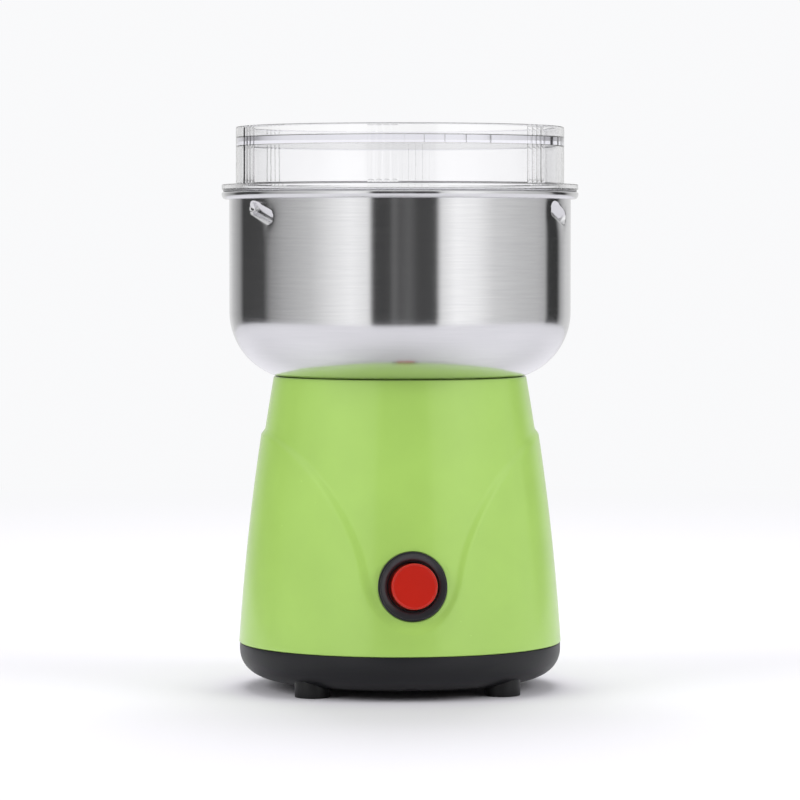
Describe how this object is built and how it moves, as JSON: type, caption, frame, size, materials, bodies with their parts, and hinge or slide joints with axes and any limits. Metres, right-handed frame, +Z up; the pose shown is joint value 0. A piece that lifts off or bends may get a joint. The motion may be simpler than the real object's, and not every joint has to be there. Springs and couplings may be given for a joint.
{
  "type": "electric grain mill",
  "caption": "Small electric grain mill: steel bowl with spinning blades and a clear twist-on lid on a motor housing, worked by a push button.",
  "frame": {"origin": "on the floor under the motor shaft, at the middle of the feet's lower faces", "axes": "+Z up along the motor shaft, -Y towards the switch, +X to the right as seen from the switch side"},
  "size_m": [0.1114, 0.1114, 0.1748],
  "materials": {
    "housing_plastic": "satin lime green moulded plastic",
    "cover_plastic": "fine matte black moulded plastic",
    "foot_rubber": "smooth black rubber",
    "steel_fastener": "plated steel",
    "gland_rubber": "black rubber",
    "bezel_plastic": "satin black moulded plastic",
    "cap_plastic": "glossy red moulded plastic",
    "spring_steel": "bright spring wire",
    "brass": "plain brass strip",
    "bowl_steel": "stainless steel brushed round the bowl",
    "washer_rubber": "black rubber",
    "seal_plastic": "black moulded nylon",
    "bracket_metal": "die-cast aluminium",
    "bracket_plastic": "black glass-filled nylon",
    "bronze": "sintered bronze",
    "lamination_steel": "stacked electrical steel",
    "enamelled_copper": "enamelled copper wire in varnish",
    "commutator_copper": "turned copper bars",
    "carbon": "pressed carbon",
    "shaft_steel": "ground steel",
    "fan_plastic": "natural nylon",
    "blade_steel": "polished stainless steel",
    "lid_clear": "clear polished styrene",
    "seal_silicone": "clear silicone"
  },
  "bodies": {
    "root": {"housing": "housing_plastic", "base_cover": "cover_plastic", "foot_front_left": "foot_rubber", "foot_front_right": "foot_rubber", "foot_rear_left": "foot_rubber", "foot_rear_right": "foot_rubber", "base_screws": "steel_fastener", "cord_gland": "gland_rubber", "switch_body": "bezel_plastic", "switch_nut": "bezel_plastic", "switch_spring": "spring_steel", "switch_terminals": "brass", "bowl": "bowl_steel", "bowl_screws": "steel_fastener", "bowl_washers": "washer_rubber", "shaft_seal": "seal_plastic", "motor_dampers": "washer_rubber", "motor_top_bracket": "bracket_metal", "motor_bottom_bracket": "bracket_plastic", "top_bearing": "bronze", "bottom_bearing": "bronze", "stator_core": "lamination_steel", "field_coil_left": "enamelled_copper", "field_coil_right": "enamelled_copper", "motor_bolts": "steel_fastener", "brush_holder_left": "brass", "brush_holder_right": "brass", "carbon_brush_left": "carbon", "carbon_brush_right": "carbon", "brush_spring_left": "spring_steel", "brush_spring_right": "spring_steel"},
    "rotor": {"motor_shaft": "shaft_steel", "armature_core": "lamination_steel", "armature_winding": "enamelled_copper", "commutator": "commutator_copper", "cooling_fan": "fan_plastic", "blade_spacer": "shaft_steel", "blade_lower": "blade_steel", "blade_upper": "blade_steel", "blade_washer": "steel_fastener", "blade_nut": "steel_fastener"},
    "button": {"switch_button": "cap_plastic"},
    "lid_ring": {"lid_seal": "seal_silicone"},
    "lid": {"lid": "lid_clear"}
  },
  "joints": [
    {"name": "blade_spin", "type": "hinge", "parent": "root", "child": "rotor", "pos_m": [0, 0, 0.055], "axis": [0, 0, 1], "continuous": true},
    {"name": "switch_press", "type": "slide", "parent": "root", "child": "button", "axis": [0, 0.9957, -0.0924], "range_m": [0, 0.0025], "stiffness_N_per_m": 600, "springref_m": -0.003, "deforming": ["switch_spring"]},
    {"name": "lid_lift", "type": "slide", "parent": "root", "child": "lid_ring", "axis": [0, 0, 1], "range_m": [0, 0.06]},
    {"name": "lid_turn", "type": "hinge", "parent": "lid_ring", "child": "lid", "pos_m": [0, 0, 0.155], "axis": [0, 0, 1], "range_deg": [0, 24]}
  ]
}
